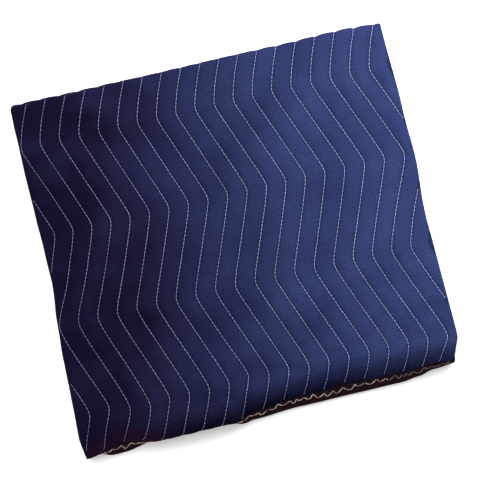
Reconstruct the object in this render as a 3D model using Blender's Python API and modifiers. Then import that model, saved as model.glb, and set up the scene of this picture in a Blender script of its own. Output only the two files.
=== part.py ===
"""A quilted moving blanket, folded to a packet that lies on its back, and the tape that binds its hem.

The cloth is one sheet, folded back and forth into sixteen plies. The first ply lies on top and rolls
down over the front as a flap; its hem is bound with a dark tape. X runs along the packet's width,
Y from its front to its back, and Z up from the face that it rests on. All sizes are in metres.
"""

import math
from collections import namedtuple

import bmesh
import bpy

# The packet: a quarter of the blanket's length wide, and a quarter of its width deep with its folds.
WIDTH = 0.510
DEPTH = 0.478
PLIES = 16
CLOTH = 0.0031
PLY_GAP = 0.0004
FOLD_GAP = 0.0012
LAST_PLY_SHORT = 0.0040

# The flap that rolls down over the front, and the tape that is folded round its hem.
ROLL_DEPTH = 0.027
ROLL_DROP = 0.029
BEHIND_FLAP = 0.0014
HEM_CLOTH = 0.0021
HEM_HEIGHT_LEFT = 0.0022
HEM_HEIGHT_RIGHT = 0.0055
TAPE_WIDTH = 0.0260
TAPE = 0.0008
TAPE_GAP = 0.00035
TAPE_STEPS = 16

# The quilting: rows of stitches that run from back to front in parallel zigzags.
STITCH_PITCH = 0.0265
STITCH_OFFSET = 0.0107
STITCH_SPACES = 22
ZIGZAG_HALF = 0.124
ZIGZAG_FIRST = 0.053
ZIGZAG_SWING = 0.0222
QUILT_DEPTH = 0.0016
LINES_PER_STROKE = 4
PLAIN_SPAN = 11

# The packet thins towards its left and right sides. There each pair of plies is rounded as one fold,
# and its corners are rounded too.
SIDE_REACH = 0.048
SIDE_THINNING = 0.055
SIDE_ROUND = 0.0033
SIDE_CLOTH = 0.2
SIDE_LOOPS = (0.045, 0.018, SIDE_ROUND, 0.0010)
FLAP_CORNER = 0.005

# A back fold: how far it stops short of the packet's back, how much further back its right end comes
# than its left end, and how far the left and right ends of its two plies stop short of the sides.
BackFold = namedtuple("BackFold", "short skew left right")
BACK_FOLDS = (
    BackFold(short=0.0042, skew=0.0020, left=0.0006, right=0.0000),
    BackFold(short=0.0018, skew=-0.0026, left=0.0022, right=0.0014),
    BackFold(short=0.0030, skew=0.0016, left=0.0000, right=0.0030),
    BackFold(short=0.0000, skew=0.0022, left=0.0014, right=0.0006),
    BackFold(short=0.0024, skew=-0.0018, left=0.0004, right=0.0024),
    BackFold(short=0.0006, skew=0.0010, left=0.0026, right=0.0000),
    BackFold(short=0.0034, skew=-0.0016, left=0.0012, right=0.0018),
    BackFold(short=0.0046, skew=0.0024, left=0.0000, right=0.0008),
)

# A front fold, behind the flap: how far it stops short of the flap, and its skew.
FrontFold = namedtuple("FrontFold", "short skew")
FRONT_FOLDS = (
    FrontFold(short=0.0000, skew=0.0010),
    FrontFold(short=0.0012, skew=-0.0012),
    FrontFold(short=0.0004, skew=0.0014),
    FrontFold(short=0.0020, skew=-0.0018),
    FrontFold(short=0.0000, skew=0.0008),
    FrontFold(short=0.0026, skew=0.0012),
    FrontFold(short=0.0010, skew=-0.0014),
)

NAVY = (0.020, 0.026, 0.085, 1.0)
TAPE_COLOUR = (0.020, 0.012, 0.013, 1.0)

PLY_RISE = CLOTH + PLY_GAP
HEIGHT = PLIES * CLOTH + (PLIES - 1) * PLY_GAP
BACK = DEPTH / 2
FRONT = -DEPTH / 2
FOLD_BULGE = CLOTH + PLY_GAP / 2
TOP_RUN = DEPTH - ROLL_DEPTH - FOLD_BULGE
ROLL_BASE = HEIGHT - ROLL_DROP
HEM_RECESS = (CLOTH - HEM_CLOTH) / 2
HEM_LEDGE = TAPE_WIDTH + TAPE + 2 * TAPE_GAP
COLUMN = STITCH_PITCH / 2
COLUMNS = 2 * STITCH_SPACES + 1
PLAIN_COLUMNS = range(0, COLUMNS, PLAIN_SPAN)

# A line of the section, drawn right across the cloth. dent is how a stitch row sinks into it, in Y and Z;
# a line without one is plain, and has points at the plain columns alone. run is the cloth's length from
# the packet's back edge forward to the line, and hem is 1 where the line follows the height of the hem.
Line = namedtuple("Line", "y z dent run skew hem", defaults=(None, 0.0, 0.0, 0.0))


def ply_bottom(ply):
    """The height of a ply's underside. Ply 1 is on top."""
    return (PLIES - ply) * PLY_RISE


def ply_top(ply):
    return ply_bottom(ply) + CLOTH


def roll_point(turn, inset):
    """A point of the roll, turn radians on from the top, inset from the cloth's outer face."""
    y = FRONT + ROLL_DEPTH - (ROLL_DEPTH - inset) * math.sin(turn)
    z = ROLL_BASE + (ROLL_DROP - inset) * math.cos(turn)
    return y, z


def inside_of_flap(z):
    """How far forward the inner face of the flap is at a height."""
    rise = max(0.0, z - ROLL_BASE) / (ROLL_DROP - CLOTH)
    return FRONT + ROLL_DEPTH - (ROLL_DEPTH - CLOTH) * math.sqrt(max(0.0, 1.0 - rise * rise))


def flap_outside():
    """The flap's outer face from its hem up to the roll, and the roll over the packet's front edge."""
    steps = 5
    quarter = math.pi / 4 * (ROLL_DEPTH + ROLL_DROP)
    ledge_run = TOP_RUN + quarter + ROLL_BASE - HEM_LEDGE
    lines = [
        Line(FRONT + HEM_RECESS, 0.0, hem=1.0),
        Line(FRONT + HEM_RECESS, TAPE_WIDTH, hem=1.0),
        Line(FRONT, HEM_LEDGE, dent=(0.0, 0.0), run=ledge_run, hem=1.0),
    ]
    for step in range(1, steps):
        turn = math.pi / 2 * (1 - step / steps)
        y, z = roll_point(turn, 0.0)
        dent = (QUILT_DEPTH * math.sin(turn), -QUILT_DEPTH * math.cos(turn))
        lines.append(Line(y, z, dent, TOP_RUN + quarter * (1 - step / steps)))
    return lines


def top_face():
    """The top from the roll to the back edge, with a line at each turn of the zigzags."""
    spacing = ZIGZAG_HALF / LINES_PER_STROKE
    first = math.ceil((ZIGZAG_FIRST - TOP_RUN + spacing / 3) / spacing)
    last = math.floor((ZIGZAG_FIRST - spacing / 3) / spacing)
    runs = [TOP_RUN] + [ZIGZAG_FIRST - step * spacing for step in range(first, last + 1)]
    return [Line(BACK - FOLD_BULGE - run, HEIGHT, (0.0, -QUILT_DEPTH), run) for run in runs]


def back_arc(number):
    """The outer face of a back fold, from its upper ply round to its lower one."""
    fold = BACK_FOLDS[number]
    steps = 4
    top = ply_top(2 * number + 1)
    bottom = ply_bottom(2 * number + 2)
    first_run = -2 * number * (TOP_RUN + math.pi * FOLD_BULGE)
    lines = []
    for step in range(steps + 1):
        turn = math.pi * step / steps
        y = BACK - FOLD_BULGE - fold.short + FOLD_BULGE * math.sin(turn)
        z = (top + bottom) / 2 + (top - bottom) / 2 * math.cos(turn)
        sunk = QUILT_DEPTH * math.sin(turn)
        dent = (-sunk, -sunk * math.cos(turn))
        lines.append(Line(y, z, dent, first_run - turn * FOLD_BULGE, fold.skew))
    if number == 0:
        lines[0] = lines[0]._replace(dent=(0.0, -QUILT_DEPTH))
    return lines


def back_gap(number):
    """The two inner corners of a back fold, lower ply first."""
    fold = BACK_FOLDS[number]
    y = BACK - FOLD_BULGE - fold.short - FOLD_GAP
    heights = (ply_top(2 * number + 2), ply_bottom(2 * number + 1))
    return [Line(y, z, skew=fold.skew) for z in heights]


def front_start(number):
    """Where a front fold begins to turn, so that it clears the inside of the flap."""
    fold = FRONT_FOLDS[number]
    flap = max(inside_of_flap(ply_top(2 * number + 2)), inside_of_flap(ply_bottom(2 * number + 3)))
    return flap + BEHIND_FLAP + abs(fold.skew) / 2 + fold.short + FOLD_BULGE


def front_arc(number):
    """The outer face of a front fold, from its lower ply round to its upper one."""
    steps = 3
    top = ply_top(2 * number + 2)
    bottom = ply_bottom(2 * number + 3)
    lines = []
    for step in range(steps + 1):
        turn = math.pi * step / steps
        y = front_start(number) - FOLD_BULGE * math.sin(turn)
        z = (top + bottom) / 2 - (top - bottom) / 2 * math.cos(turn)
        lines.append(Line(y, z, skew=FRONT_FOLDS[number].skew))
    return lines


def front_gap(number):
    """The two inner corners of a front fold, upper ply first."""
    y = front_start(number) + FOLD_GAP
    heights = (ply_bottom(2 * number + 2), ply_top(2 * number + 3))
    return [Line(y, z, skew=FRONT_FOLDS[number].skew) for z in heights]


def flap_inside():
    """The inside of the roll and of the flap, down to the hem."""
    steps = 4
    turns = [math.pi / 2 * step / steps for step in range(steps)]
    lines = [Line(*roll_point(turn, CLOTH)) for turn in turns]
    lines.append(Line(FRONT + CLOTH, HEM_LEDGE, hem=1.0))
    lines.append(Line(FRONT + CLOTH - HEM_RECESS, TAPE_WIDTH, hem=1.0))
    lines.append(Line(FRONT + CLOTH - HEM_RECESS, 0.0, hem=1.0))
    return lines


def section():
    """The folded section, once round: up the outside of the flap, along one face and back along the other."""
    lines = flap_outside() + top_face()
    for number in range(len(BACK_FOLDS)):
        lines += back_arc(number)
        if number < len(FRONT_FOLDS):
            lines += front_gap(number)
    end = FRONT + CLOTH + BEHIND_FLAP + LAST_PLY_SHORT
    lines += [Line(end, ply_bottom(PLIES)), Line(end, ply_top(PLIES))]
    for number in reversed(range(len(BACK_FOLDS))):
        lines += back_gap(number)
        if number > 0:
            lines += front_arc(number - 1)
    return lines + flap_inside()


def zigzag(run):
    """How far the stitch rows swing to the right at a run."""
    strokes = (run - ZIGZAG_FIRST) / ZIGZAG_HALF
    return ZIGZAG_SWING * (1.0 - 2.0 * abs(strokes % 2.0 - 1.0))


def hem_height(x):
    return HEM_HEIGHT_LEFT + (HEM_HEIGHT_RIGHT - HEM_HEIGHT_LEFT) * (x / WIDTH + 0.5)


def ring_of_points(bm, line):
    """A line's points from left to right, by column. Stitch rows are the even columns."""
    ring = {}
    for column in PLAIN_COLUMNS if line.dent is None else range(COLUMNS):
        x = (column - STITCH_SPACES) * COLUMN + STITCH_OFFSET
        y, z = line.y, line.z
        if line.dent is not None:
            x += zigzag(line.run)
            if column % 2 == 0:
                y += line.dent[0]
                z += line.dent[1]
        y += line.skew * x / WIDTH
        z += line.hem * hem_height(x)
        ring[column] = bm.verts.new((x, y, z))
    return ring


def loft(bm, lines):
    """Stretches the section across, a little wider than the packet. Its lines differ, so they are lofted."""
    rings = [ring_of_points(bm, line) for line in lines]
    for ring, after in zip(rings, rings[1:] + rings[:1]):
        shared = sorted(ring.keys() & after.keys())
        for first, last in zip(shared, shared[1:]):
            near = [ring[column] for column in range(first, last + 1) if column in ring]
            far = [after[column] for column in range(first, last + 1) if column in after]
            bm.faces.new(near + far[::-1])


def cut_across(bm, x, trim):
    """Cuts the cloth along its section at x. A trim takes away what lies beyond, and closes the end."""
    cut = bmesh.ops.bisect_plane(
        bm,
        geom=bm.verts[:] + bm.edges[:] + bm.faces[:],
        dist=1e-6,
        plane_co=(x, 0.0, 0.0),
        plane_no=(math.copysign(1.0, x), 0.0, 0.0),
        clear_outer=trim,
    )
    if trim:
        rim = [edge for edge in cut["geom_cut"] if isinstance(edge, bmesh.types.BMEdge)]
        end = bmesh.ops.contextual_create(bm, geom=rim)
        bmesh.ops.triangulate(bm, faces=end["faces"])


def smooth(value):
    value = min(1.0, max(0.0, value))
    return value * value * (3.0 - 2.0 * value)


def quarter_round(value):
    """A quarter circle's fall: 0 where it starts, and 1 at its end."""
    value = min(1.0, max(0.0, value))
    return 1.0 - math.sqrt(1.0 - value * value)


def thinned_fold(pair, z, share):
    """A height on a pair of plies, once each has this share of its thickness, next to their gap."""
    middle = ply_bottom(2 * pair + 1) - PLY_GAP / 2
    away = abs(z - middle)
    beyond = max(0.0, away - PLY_GAP / 2)
    return middle + math.copysign(min(away, PLY_GAP / 2) + beyond * share, z - middle)


def thinned_roll(y, z, share):
    """A place on the roll, once the cloth has this share of its thickness, next to its inner face."""
    if z <= HEM_LEDGE + HEM_HEIGHT_RIGHT:
        return y, z
    centre = FRONT + ROLL_DEPTH
    reach = math.hypot((y - centre) / (ROLL_DEPTH - CLOTH), (z - ROLL_BASE) / (ROLL_DROP - CLOTH))
    nearer = (1.0 + (reach - 1.0) * share) / reach
    return centre + (y - centre) * nearer, ROLL_BASE + (z - ROLL_BASE) * nearer


def settle(bm, rounded):
    """Thins the packet towards its sides, and draws in and rounds the ends of its folds."""
    for vert in bm.verts:
        x, y, z = vert.co
        on_flap = y < inside_of_flap(z) + BEHIND_FLAP / 2
        ply = 1 if on_flap else PLIES - math.floor((z + PLY_GAP / 2) / PLY_RISE)
        pair = (ply - 1) // 2
        fold = BACK_FOLDS[pair]
        inside = WIDTH / 2 - abs(x)
        share = 1.0 - (1.0 - SIDE_CLOTH) * quarter_round(1.0 - inside / SIDE_ROUND)
        if on_flap:
            corner = FLAP_CORNER * smooth((FRONT + ROLL_DEPTH - y) / ROLL_DEPTH)
        else:
            into_fold = (y - BACK + FOLD_BULGE + fold.short - fold.skew * x / WIDTH) / FOLD_BULGE
            corner = FOLD_BULGE * quarter_round(into_fold)
        if rounded and on_flap:
            y, z = thinned_roll(y, z, share)
        elif rounded:
            z = thinned_fold(pair, z, share)
        near_side = smooth(1.0 - inside / SIDE_REACH)
        short = corner + (fold.right if x > 0.0 else fold.left)
        x -= math.copysign(near_side * short, x)
        z *= 1.0 - SIDE_THINNING * near_side
        vert.co = (x, y, z)


def finished(name, bm, collection, colour, roughness):
    """A named object from a mesh, with a material of its own."""
    bmesh.ops.recalc_face_normals(bm, faces=bm.faces[:])
    mesh = bpy.data.meshes.new(name)
    bm.to_mesh(mesh)
    bm.free()
    material = bpy.data.materials.new(name)
    material.use_nodes = True
    shader = material.node_tree.nodes["Principled BSDF"]
    shader.inputs["Base Color"].default_value = colour
    shader.inputs["Roughness"].default_value = roughness
    shader.inputs["Metallic"].default_value = 0.0
    mesh.materials.append(material)
    obj = bpy.data.objects.new(name, mesh)
    collection.objects.link(obj)
    return obj


def blanket(collection):
    """The folded cloth, as one solid."""
    bm = bmesh.new()
    loft(bm, section())
    for side in (-1.0, 1.0):
        cut_across(bm, side * WIDTH / 2, trim=True)
        for inside in SIDE_LOOPS:
            cut_across(bm, side * (WIDTH / 2 - inside), trim=False)
    settle(bm, rounded=True)
    return finished("blanket", bm, collection, NAVY, 0.85)


def hem_binding(collection):
    """The tape, folded up both faces of the hem."""
    out = TAPE_GAP + TAPE / 2
    front = FRONT + HEM_RECESS - out
    back = FRONT + CLOTH - HEM_RECESS + out
    top = TAPE_WIDTH - TAPE_GAP
    path = ((front, top), (front, 0.0), (front + out, -out), (back - out, -out), (back, 0.0), (back, top))
    inner = WIDTH / 2 - SIDE_LOOPS[0]
    middle = [inner * (2 * step / TAPE_STEPS - 1) for step in range(TAPE_STEPS + 1)]
    side = [WIDTH / 2 - inside for inside in SIDE_LOOPS[1:]] + [WIDTH / 2]
    across = [-x for x in reversed(side)] + middle + side
    bm = bmesh.new()
    first = [bm.verts.new((across[0], y, z)) for y, z in path]
    edges = [bm.edges.new(pair) for pair in zip(first, first[1:])]
    for x, after in zip(across, across[1:]):
        made = bmesh.ops.extrude_edge_only(bm, edges=edges)["geom"]
        edges = [part for part in made if isinstance(part, bmesh.types.BMEdge)]
        moved = [part for part in made if isinstance(part, bmesh.types.BMVert)]
        bmesh.ops.translate(bm, verts=moved, vec=(after - x, 0.0, 0.0))
    for vert in bm.verts:
        vert.co.z += hem_height(vert.co.x)
    settle(bm, rounded=False)
    tape = finished("hem_binding", bm, collection, TAPE_COLOUR, 0.7)
    shell = tape.modifiers.new("tape", "SOLIDIFY")
    shell.thickness = TAPE
    shell.offset = 0.0
    shell.use_even_offset = True
    return tape


def centre_on_floor(objects):
    """Moves the meshes so that the middle of the packet's footprint is the origin."""
    points = [vert.co for obj in objects for vert in obj.data.vertices]
    middle = [(max(p[axis] for p in points) + min(p[axis] for p in points)) / 2 for axis in (0, 1)]
    for point in points:
        point.x -= middle[0]
        point.y -= middle[1]


for old in list(bpy.data.objects):
    bpy.data.objects.remove(old, do_unlink=True)
parts = bpy.data.collections.new("moving_blanket")
bpy.context.scene.collection.children.link(parts)
centre_on_floor([blanket(parts), hem_binding(parts)])
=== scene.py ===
import math
import random
from collections import namedtuple

import bmesh
import bpy
from mathutils import Matrix, Vector, noise
from mathutils.bvhtree import BVHTree


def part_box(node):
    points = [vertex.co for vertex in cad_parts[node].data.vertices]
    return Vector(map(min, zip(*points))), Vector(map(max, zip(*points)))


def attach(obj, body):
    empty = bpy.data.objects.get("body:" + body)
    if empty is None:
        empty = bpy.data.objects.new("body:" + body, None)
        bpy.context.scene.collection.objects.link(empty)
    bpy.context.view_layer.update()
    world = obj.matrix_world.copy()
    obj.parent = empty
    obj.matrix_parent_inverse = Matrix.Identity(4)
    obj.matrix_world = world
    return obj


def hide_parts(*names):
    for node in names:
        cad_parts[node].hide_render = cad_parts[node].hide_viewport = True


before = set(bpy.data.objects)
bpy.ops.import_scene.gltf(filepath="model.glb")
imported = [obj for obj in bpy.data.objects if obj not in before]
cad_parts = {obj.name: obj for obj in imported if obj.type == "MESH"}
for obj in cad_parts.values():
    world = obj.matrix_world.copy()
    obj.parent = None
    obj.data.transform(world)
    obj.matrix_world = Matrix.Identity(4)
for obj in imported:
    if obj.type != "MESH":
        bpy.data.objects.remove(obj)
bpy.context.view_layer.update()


# ------------------------------------------------------------
# The quilted cloth. A moving blanket is one sheet: two navy woven shells with a thin batting between
# them, quilted in zigzag rows. It is folded back and forth into sixteen plies. The first ply lies on
# top, and rolls down over the front as a flap that ends in the bound hem.
# ------------------------------------------------------------

cloth_low, cloth_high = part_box("blanket")
WIDTH = cloth_high.x - cloth_low.x
HEIGHT = cloth_high.z
DEPTH = 0.478
FRONT = cloth_low.y
BACK = FRONT + DEPTH
PLIES = 16
PLY_GAP = 0.0004
PLY_RISE = (HEIGHT + PLY_GAP) / PLIES
CLOTH = PLY_RISE - PLY_GAP
FOLD_BULGE = CLOTH + PLY_GAP / 2
FOLD_GAP = 0.0012
LAST_PLY_SHORT = 0.0040

# The flap and its hem: the roll over the packet's front edge, the room behind it, and the hem's heights
# at its two ends. The roll's lines begin to follow the hem's slope HEM_BLEND above the ledge of the tape.
ROLL_DEPTH = 0.027
ROLL_DROP = 0.029
ROLL_BASE = HEIGHT - ROLL_DROP
ROLL_RUN = math.pi / 4 * (ROLL_DEPTH + ROLL_DROP)
TOP_RUN = DEPTH - ROLL_DEPTH - FOLD_BULGE
BEHIND_FLAP = 0.0014
BEHIND_ROLL = 0.002
HEM_RECESS = 0.0005
HEM_BLEND = 0.012
HEM_LEFT = 0.0022
HEM_RIGHT = 0.0055
HEM_MIDDLE = (HEM_LEFT + HEM_RIGHT) / 2
TAPE_WIDTH = 0.0260
LEDGE_ABOVE_TAPE = 0.0015
HEM_LEDGE = HEM_MIDDLE + TAPE_WIDTH + LEDGE_ABOVE_TAPE

# The quilting rows: their zigzag, the groove along each, the crown between two, which is lower at the
# back fold, and the gathers and rumples that the sewing leaves. The rumples lie askew. RUMPLE_ASKEW has
# two directions, each as its waves in a metre across the cloth and in a metre along it.
STITCH_PITCH = 0.0265
STITCH_OFFSET = 0.0078
STITCH_ROWS = 23
ZIGZAG_HALF = 0.1266
ZIGZAG_FIRST = 0.0567
ZIGZAG_SWING = 0.0216
ZIGZAG_POINTED = 0.985
ROW_WANDER = 0.0022
QUILT_DEPTH = 0.0018
GROOVE = 0.0036
CROWN = 0.0012
CROWN_AT_FOLD = 0.3
CROWN_START = 0.004
CROWN_REACH = 0.030
PLUMP = 0.85
PLUMP_VARIES = 0.35
GATHERS = 0.00055
GATHERS_REACH = 0.0060
GATHERS_BETWEEN = 0.35
RUMPLE = 0.0008
RUMPLE_ASKEW = ((13.0, 6.0), (-9.0, 24.0))
THINNEST = 0.0007

# A back fold: how far it stops short of the back, how much further back its right end comes than its
# left end, and how far the left and right ends of its two plies stop short of the sides.
BackFold = namedtuple("BackFold", "short skew left right")
BACK_FOLDS = (
    BackFold(short=0.0042, skew=0.0020, left=0.0006, right=0.0000),
    BackFold(short=0.0018, skew=-0.0026, left=0.0022, right=0.0014),
    BackFold(short=0.0030, skew=0.0016, left=0.0000, right=0.0030),
    BackFold(short=0.0000, skew=0.0022, left=0.0014, right=0.0006),
    BackFold(short=0.0024, skew=-0.0018, left=0.0004, right=0.0024),
    BackFold(short=0.0006, skew=0.0010, left=0.0026, right=0.0000),
    BackFold(short=0.0034, skew=-0.0016, left=0.0012, right=0.0018),
    BackFold(short=0.0046, skew=0.0024, left=0.0000, right=0.0008),
)

# A front fold, behind the flap: how far it stops short of the flap, and its skew.
FrontFold = namedtuple("FrontFold", "short skew")
FRONT_FOLDS = (
    FrontFold(short=0.0000, skew=0.0010),
    FrontFold(short=0.0012, skew=-0.0012),
    FrontFold(short=0.0004, skew=0.0014),
    FrontFold(short=0.0020, skew=-0.0018),
    FrontFold(short=0.0000, skew=0.0008),
    FrontFold(short=0.0026, skew=0.0012),
    FrontFold(short=0.0010, skew=-0.0014),
)

# How the packet has settled: its sides thin and droop, the ends of each pair of plies are rounded as
# one fold, and the whole is a little uneven.
SIDE_REACH = 0.048
SIDE_THINNING = 0.055
SIDE_EDGE = 0.013
SIDE_DROOP = 0.030
SIDE_ROUND = 0.0033
SIDE_CLOTH = 0.12
SIDE_UNEVEN = 0.0011
HEM_UNEVEN = 0.0010
BACK_UNEVEN = 0.0018
HEIGHT_UNEVEN = 0.030
FLAP_CORNER_LEFT = 0.0030
FLAP_CORNER_RIGHT = 0.0065

# How far in from each side the cloth has an added loop of points, so that its end is rounded.
SIDE_LOOPS = (0.047, 0.032, 0.018, 0.0125, 0.0085, 0.0055, 0.0033, 0.0020, 0.0011, 0.0005, 0.00015)

# How far the left and right sides bow out, from the front to the back: (y, out). A bow fades towards the
# packet's middle, as a power of how far out a place is.
BOW_POWER = 4
LEFT_BOW = (
    (-0.235, 0.002), (-0.110, 0.001), (-0.066, -0.001), (-0.012, -0.005), (0.030, -0.004), (0.082, -0.002),
    (0.150, 0.000), (0.235, 0.002),
)
RIGHT_BOW = (
    (-0.240, -0.004), (-0.205, -0.001), (-0.150, -0.002), (-0.040, -0.003), (0.064, 0.002), (0.235, 0.000),
)

# How far the front bows forward, and how far the hem stands forward of the roll: (x, forward).
FRONT_BOW = (
    (-0.252, 0.0140), (-0.238, 0.0115), (-0.219, 0.001), (-0.197, -0.001), (-0.156, 0.011), (-0.056, 0.011),
    (-0.030, -0.001), (0.033, -0.008), (0.110, -0.0105), (0.195, -0.010), (0.252, -0.008),
)
HEM_FLARE = (
    (-0.252, -0.012), (-0.238, -0.010), (-0.219, 0.006), (-0.200, 0.007), (-0.158, -0.011), (-0.063, -0.012),
    (-0.034, 0.004), (0.033, 0.008), (0.110, 0.0105), (0.168, 0.009), (0.195, 0.006), (0.215, 0.001),
    (0.252, -0.003),
)

# How far the foot of the plies is tucked back behind the flap: (x, back).
PLY_TUCK = (
    (-0.256, 0.0045), (-0.225, 0.0010), (-0.185, 0.0125), (-0.030, 0.0125), (0.035, 0.0000), (0.190, 0.0000),
    (0.252, 0.0035),
)

# How far the bow and the tuck of the front and the bow of the back reach into the packet. Below the top
# of the foot, the flare and the tuck grow towards the floor.
BOW_REACH = 0.120
TUCK_REACH = 0.045
BACK_BOW = 0.0065
BACK_REACH = 0.06
FOOT_TOP = ROLL_BASE + 0.012
FOOT_POWER = 0.7

# Soft creases of the top ply, from one end to the other. along is the cloth's run from the back edge
# forward, and a negative height is a trough.
Crease = namedtuple("Crease", "x along to_x to_along width height")
CREASES = (
    Crease(0.222, 0.106, 0.252, 0.113, width=0.0035, height=-0.0010),
    Crease(0.228, 0.124, 0.254, 0.119, width=0.0030, height=0.0006),
    Crease(0.234, 0.028, 0.250, 0.070, width=0.0040, height=-0.0009),
    Crease(0.226, 0.016, 0.240, 0.052, width=0.0045, height=0.0007),
    Crease(-0.256, 0.428, -0.238, 0.440, width=0.0030, height=-0.0011),
    Crease(-0.060, 0.442, -0.040, 0.462, width=0.0030, height=-0.0012),
    Crease(-0.050, 0.436, -0.026, 0.458, width=0.0030, height=0.0007),
    Crease(0.020, 0.438, 0.060, 0.456, width=0.0060, height=-0.0008),
    Crease(-0.190, 0.452, -0.120, 0.470, width=0.0060, height=-0.0009),
    Crease(0.110, 0.456, 0.170, 0.466, width=0.0060, height=-0.0009),
    Crease(-0.250, 0.090, -0.222, 0.104, width=0.0050, height=-0.0007),
    Crease(-0.252, 0.300, -0.228, 0.292, width=0.0050, height=-0.0008),
)

# How far round the first back fold the creases of the top ply may reach.
CREASES_REACH = 0.01

# A row has a column of points on it, and these others at shares of the way to the next row. The hidden
# plies have only the columns on the rows.
BETWEEN_ROWS = (0.0, 0.04, 0.10, 0.20, 0.34, 0.50, 0.66, 0.80, 0.90, 0.96)
COLUMNS = (STITCH_ROWS - 1) * len(BETWEEN_ROWS) + 1
HIDDEN_EVERY = len(BETWEEN_ROWS)

# How far apart the lines across the cloth are, and how they pass into a fold.
ROLL_SPACING = 0.0024
TOP_SPACING = 0.0034
UNDER_SPACING = 0.0100
HIDDEN_SPACING = 0.0240
FOLD_STEPS = 8
FRONT_FOLD_STEPS = 6
NEAR_FOLD = 0.03
PAST_FOLD = 0.001
UNDER_FROM_FOLD = 0.003

# A line across the cloth. out points out of its face, and a hidden line has none. run is the cloth's
# length forward from the packet's back edge, and pair is its pair of plies, from the top. It has one
# column in every, its right end lies further back by skew, and hem is 1 where it follows the hem's slope.
Line = namedtuple("Line", "y z out run pair every skew hem", defaults=(1, 0.0, 0.0))


def smooth(value):
    """An even rise with soft ends: 0 up to 0, and 1 from 1 on."""
    value = min(1.0, max(0.0, value))
    return value * value * (3.0 - 2.0 * value)


def quarter_round(value):
    """A quarter circle's fall: 0 where it starts, and 1 at its end."""
    value = min(1.0, max(0.0, value))
    return 1.0 - math.sqrt(1.0 - value * value)


def waver(first, second, waves, seed):
    """Smooth noise, from about -1 to 1, over two coordinates. waves is how many it has in a unit of each."""
    return noise.noise(Vector((first * waves[0], second * waves[1], seed)))


def eased(points, at):
    """The value at a place, between (place, value) points."""
    (start, value), *rest = points
    for end, following in rest:
        if at < end:
            return value + (following - value) * smooth((at - start) / (end - start))
        start, value = end, following
    return value


def ply_bottom(ply):
    """The height of a ply's underside. Ply 1 is on top."""
    return (PLIES - ply) * PLY_RISE


def ply_top(ply):
    """The height of a ply's upper face."""
    return ply_bottom(ply) + CLOTH


def first_run(number):
    """The run where a back fold begins to turn, from its upper ply."""
    return -2 * number * (TOP_RUN + math.pi * FOLD_BULGE)


def run_on(ply, y):
    """The run at a place on a ply behind the roll."""
    number = (ply - 1) // 2
    forward = BACK - FOLD_BULGE - y
    if ply % 2 == 1:
        return first_run(number) + forward
    return first_run(number) - math.pi * FOLD_BULGE - forward


def bowed_forward(x, y):
    """How far the packet's front draws the cloth forward at a place."""
    return smooth(1.0 - (y - FRONT) / BOW_REACH) * eased(FRONT_BOW, x)


def row_swing(across, y, run):
    """How far a stitch row swings to the right at a place. The cloth wanders a little under the needle."""
    sewn = run + bowed_forward(across, y)
    stroke = math.pi * (sewn - ZIGZAG_FIRST) / ZIGZAG_HALF
    swing = -ZIGZAG_SWING * math.asin(ZIGZAG_POINTED * math.cos(stroke)) / math.asin(ZIGZAG_POINTED)
    return swing + ROW_WANDER * waver(across, sewn, waves=(5.0, 7.0), seed=12.0)


def hem_rise(x):
    """How much higher the hem is than at its middle."""
    return (HEM_RIGHT - HEM_LEFT) * x / WIDTH


def inside_of_flap(z):
    """How far forward the inner face of the flap is at a height."""
    rise = max(0.0, z - ROLL_BASE) / (ROLL_DROP - CLOTH)
    return FRONT + ROLL_DEPTH - (ROLL_DEPTH - CLOTH) * math.sqrt(max(0.0, 1.0 - rise * rise))


def roll_line(turn, inset):
    """A line of the roll, turn radians on from the top, inset from the cloth's outer face."""
    y = FRONT + ROLL_DEPTH - (ROLL_DEPTH - inset) * math.sin(turn)
    z = ROLL_BASE + (ROLL_DROP - inset) * math.cos(turn)
    run = TOP_RUN + ROLL_RUN * turn / (math.pi / 2)
    near_hem = smooth(1.0 - (z - HEM_LEDGE) / HEM_BLEND)
    return Line(y, z, (-math.sin(turn), math.cos(turn)), run, 0, hem=near_hem)


def fold_line(number, turn):
    """A line of a back fold's outer face, turn radians on from its upper ply."""
    fold = BACK_FOLDS[number]
    top = ply_top(2 * number + 1)
    bottom = ply_bottom(2 * number + 2)
    y = BACK - FOLD_BULGE - fold.short + FOLD_BULGE * math.sin(turn)
    z = (top + bottom) / 2 + (top - bottom) / 2 * math.cos(turn)
    # The quilting fades where the fold turns in between two plies.
    shown = 1.0 if number == 0 and turn < math.pi / 2 else math.sin(turn)
    out = (shown * math.sin(turn), shown * math.cos(turn))
    return Line(y, z, out, first_run(number) - turn * FOLD_BULGE, number, 1, fold.skew)


def outside_line(run):
    """A line of the outer face that shows: the roll, the top, and the first back fold."""
    if run > TOP_RUN:
        return roll_line((run - TOP_RUN) / ROLL_RUN * math.pi / 2, 0.0)
    if run < 0.0:
        return fold_line(0, -run / FOLD_BULGE)
    near_fold = smooth(1.0 - run / NEAR_FOLD)
    fold = BACK_FOLDS[0]
    y = BACK - FOLD_BULGE - run - near_fold * fold.short
    return Line(y, HEIGHT, (0.0, 1.0), run, 0, 1, near_fold * fold.skew)


def under_line(y):
    """A line of the underside."""
    return Line(y, 0.0, (0.0, -1.0), run_on(PLIES, y), PLIES // 2 - 1)


def spread(start, end, spacing):
    """Evenly spaced values from start to end, both included."""
    steps = max(1, round(abs(end - start) / spacing))
    return [start + (end - start) * step / steps for step in range(steps + 1)]


def hidden_lines(ply, z, start, end, skew_start, skew_end):
    """Plain lines along one face of a ply, between a fold at its start and one at its end."""
    lines = []
    for y in spread(start, end, HIDDEN_SPACING):
        skew = skew_start + (skew_end - skew_start) * (y - start) / (end - start)
        lines.append(Line(y, z, None, run_on(ply, y), (ply - 1) // 2, HIDDEN_EVERY, skew))
    return lines


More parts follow.
